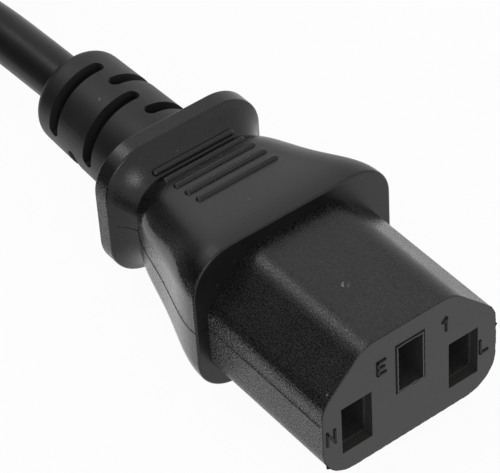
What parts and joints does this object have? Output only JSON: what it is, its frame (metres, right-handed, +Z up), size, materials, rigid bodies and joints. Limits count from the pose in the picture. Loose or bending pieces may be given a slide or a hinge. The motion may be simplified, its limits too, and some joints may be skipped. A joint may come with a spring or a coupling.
{
  "type": "power extension cord",
  "caption": "Black mains extension cord: a moulded three-slot socket connector with ribbed grip and slotted strain relief, on a round cord to a shrouded pin plug.",
  "frame": {"origin": "on the surface, under the middle of the connector's length and width", "axes": "+Y from the connector's mating face towards its cord, +Z up, +X across"},
  "size_m": [0.0427, 0.3125, 0.027],
  "materials": {
    "black_pvc": "satin",
    "cord_jacket": "satin",
    "strap_fabric": "matte",
    "carrier_plastic": "satin",
    "brass": "satin",
    "pin_metal": "satin",
    "copper": "satin",
    "core_line": "satin",
    "core_neutral": "satin",
    "core_earth": "satin"
  },
  "bodies": {
    "root": {"connector_overmould": "black_pvc", "plug_overmould": "black_pvc", "cord_lead_connector": "cord_jacket", "cord_hank": "cord_jacket", "cord_lead_plug": "cord_jacket", "cord_tie": "strap_fabric", "connector_insert": "carrier_plastic", "plug_insert": "carrier_plastic", "contact_line": "brass", "pin_line": "pin_metal", "connector_strand_line": "copper", "connector_core_line": "core_line", "plug_strand_line": "copper", "plug_core_line": "core_line", "contact_neutral": "brass", "pin_neutral": "pin_metal", "connector_strand_neutral": "copper", "connector_core_neutral": "core_neutral", "plug_strand_neutral": "copper", "plug_core_neutral": "core_neutral", "contact_earth": "brass", "pin_earth": "pin_metal", "connector_strand_earth": "copper", "connector_core_earth": "core_earth", "plug_strand_earth": "copper", "plug_core_earth": "core_earth"}
  },
  "joints": []
}
